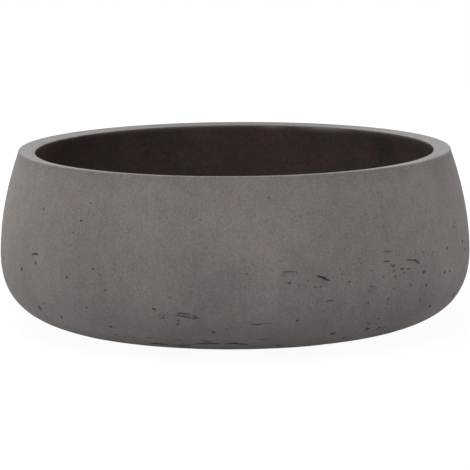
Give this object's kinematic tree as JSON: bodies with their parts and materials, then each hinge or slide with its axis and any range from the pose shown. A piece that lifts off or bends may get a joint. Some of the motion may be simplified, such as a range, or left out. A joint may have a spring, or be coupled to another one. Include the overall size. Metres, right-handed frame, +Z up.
{
  "type": "bowl planter",
  "caption": "Low round bowl planter of cast grey cement with a wide belly, flat rim, dark sealed inside, lift-out rubber drain plug and rubber foot pads.",
  "frame": {"origin": "on the floor, under the middle of the bowl, level with the underside of the foot pads", "axes": "+Z up along the bowl's axis of turning; the pads lie between the X and Y axes"},
  "size_m": [0.41, 0.4098, 0.154],
  "materials": {
    "cement": "matt cast cement",
    "seal_coat": "dark brown brushed waterproof coat",
    "plug_rubber": "black moulded rubber",
    "pad_rubber": "dark grey rubber"
  },
  "bodies": {
    "bowl": {"cement_bowl": "cement", "inner_seal_coat": "seal_coat", "foot_pad_1": "pad_rubber", "foot_pad_2": "pad_rubber", "foot_pad_3": "pad_rubber", "foot_pad_4": "pad_rubber"},
    "plug": {"drain_plug": "plug_rubber"}
  },
  "joints": [
    {"name": "drain_plug_lift", "type": "slide", "parent": "bowl", "child": "plug", "axis": [0, 0, 1], "range_m": [0, 0.16]}
  ]
}
